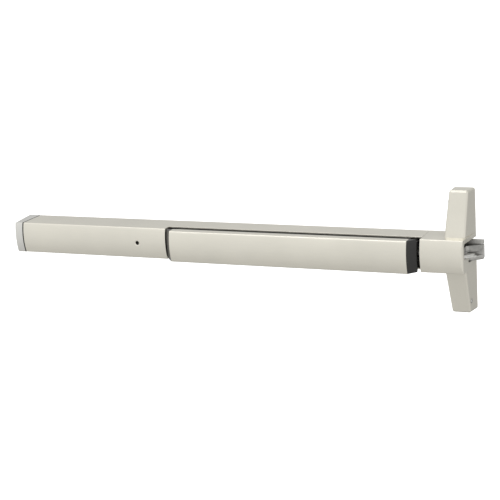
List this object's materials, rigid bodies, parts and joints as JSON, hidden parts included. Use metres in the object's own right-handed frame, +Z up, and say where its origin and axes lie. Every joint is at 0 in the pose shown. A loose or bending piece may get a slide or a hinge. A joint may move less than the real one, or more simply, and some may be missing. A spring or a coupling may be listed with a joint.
{
  "type": "panic exit bar",
  "caption": "Rim exit device for the push side of a door: crowned touch pad on a rail, pivoting latch head, hex-key dogging and an end cap.",
  "frame": {"origin": "centre of the head's screw pattern, on the door's face", "axes": "+X along the bar towards the latch side, +Y into the door, +Z up"},
  "size_m": [0.8688, 0.0781, 0.2032],
  "materials": {
    "satin_head": "warm light-grey satin, fine sprayed texture",
    "satin_rail": "warm light-grey satin extrusion",
    "pad_metal": "warm light-grey satin extrusion",
    "black_plastic": "moulded black, matt",
    "rubber": "black rubber",
    "zinc_steel": "zinc-plated pressed steel",
    "fastener_steel": "plated steel",
    "spring_steel": "oil-tempered wire",
    "latch_steel": "cast stainless steel, satin",
    "trigger_steel": "sintered stainless steel, light"
  },
  "bodies": {
    "frame": {"base_rail": "satin_rail", "filler_cover": "satin_rail", "end_gasket": "rubber", "end_cap": "satin_head", "end_bracket": "zinc_steel", "end_cap_screw": "fastener_steel", "bumpers": "rubber", "spring_bracket": "zinc_steel", "spring_rod": "fastener_steel", "return_spring": "spring_steel", "dogging_bracket": "zinc_steel", "head_cover": "satin_head", "cover_screws": "fastener_steel", "chassis_plate": "zinc_steel", "latch_frame": "zinc_steel", "frame_screws": "fastener_steel", "latch_pivot_pin": "fastener_steel", "latch_spring": "spring_steel", "rail_screws": "fastener_steel", "left_crank_bracket": "zinc_steel", "right_crank_bracket": "zinc_steel", "left_crank_pivot": "fastener_steel", "right_crank_pivot": "fastener_steel"},
    "pad": {"pad_shell": "pad_metal", "pad_carrier": "black_plastic", "left_pad_cap": "black_plastic", "right_pad_cap": "black_plastic", "left_pad_link": "zinc_steel", "right_pad_link": "zinc_steel"},
    "left_bell_crank": {"left_crank": "zinc_steel", "left_crank_pins": "fastener_steel"},
    "right_bell_crank": {"right_crank": "zinc_steel", "right_crank_pins": "fastener_steel"},
    "draw": {"draw_bar": "zinc_steel", "draw_teeth": "zinc_steel", "latch_link": "zinc_steel", "link_rivets": "fastener_steel", "spring_collar": "fastener_steel"},
    "latch": {"latch_bolt": "latch_steel", "latch_insert": "latch_steel", "latch_tail_pin": "fastener_steel"},
    "trigger": {"deadlatch_trigger": "trigger_steel"},
    "dogging": {"dogging_spindle": "fastener_steel", "dogging_hook": "fastener_steel"}
  },
  "joints": [
    {"name": "pad_press", "type": "slide", "parent": "frame", "child": "pad", "axis": [0, 1, 0], "range_m": [0, 0.015], "stiffness_N_per_m": 1200, "springref_m": -0.012},
    {"name": "left_crank_turn", "type": "hinge", "parent": "frame", "child": "left_bell_crank", "pos_m": [-0.43, -0.02, 0], "axis": [0, 0, -1], "range_deg": [0, 44.05]},
    {"name": "right_crank_turn", "type": "hinge", "parent": "frame", "child": "right_bell_crank", "pos_m": [-0.14, -0.02, 0], "axis": [0, 0, -1], "range_deg": [0, 44.05]},
    {"name": "draw_slide", "type": "slide", "parent": "frame", "child": "draw", "axis": [-1, 0, 0], "range_m": [0, 0.01125], "deforming": ["return_spring"]},
    {"name": "latch_swing", "type": "hinge", "parent": "frame", "child": "latch", "pos_m": [0.003, -0.048, 0], "axis": [0, 0, 1], "range_deg": [0, 23.7]},
    {"name": "trigger_swing", "type": "hinge", "parent": "frame", "child": "trigger", "pos_m": [0.003, -0.048, 0], "axis": [0, 0, 1], "range_deg": [0, 30], "stiffness_Nm_per_rad": 0.06, "springref_deg": -22.92},
    {"name": "dogging_turn", "type": "hinge", "parent": "frame", "child": "dogging", "pos_m": [-0.5729, -0.024, 0], "axis": [0, 1, 0], "range_deg": [0, 90]}
  ],
  "couplings": [
    {"joint": "left_crank_turn", "follows": "pad_press", "rad_per_m": 51.196},
    {"joint": "right_crank_turn", "follows": "pad_press", "rad_per_m": 51.196},
    {"joint": "draw_slide", "follows": "pad_press", "ratio": 0.74921},
    {"joint": "latch_swing", "follows": "pad_press", "rad_per_m": 27.534}
  ]
}
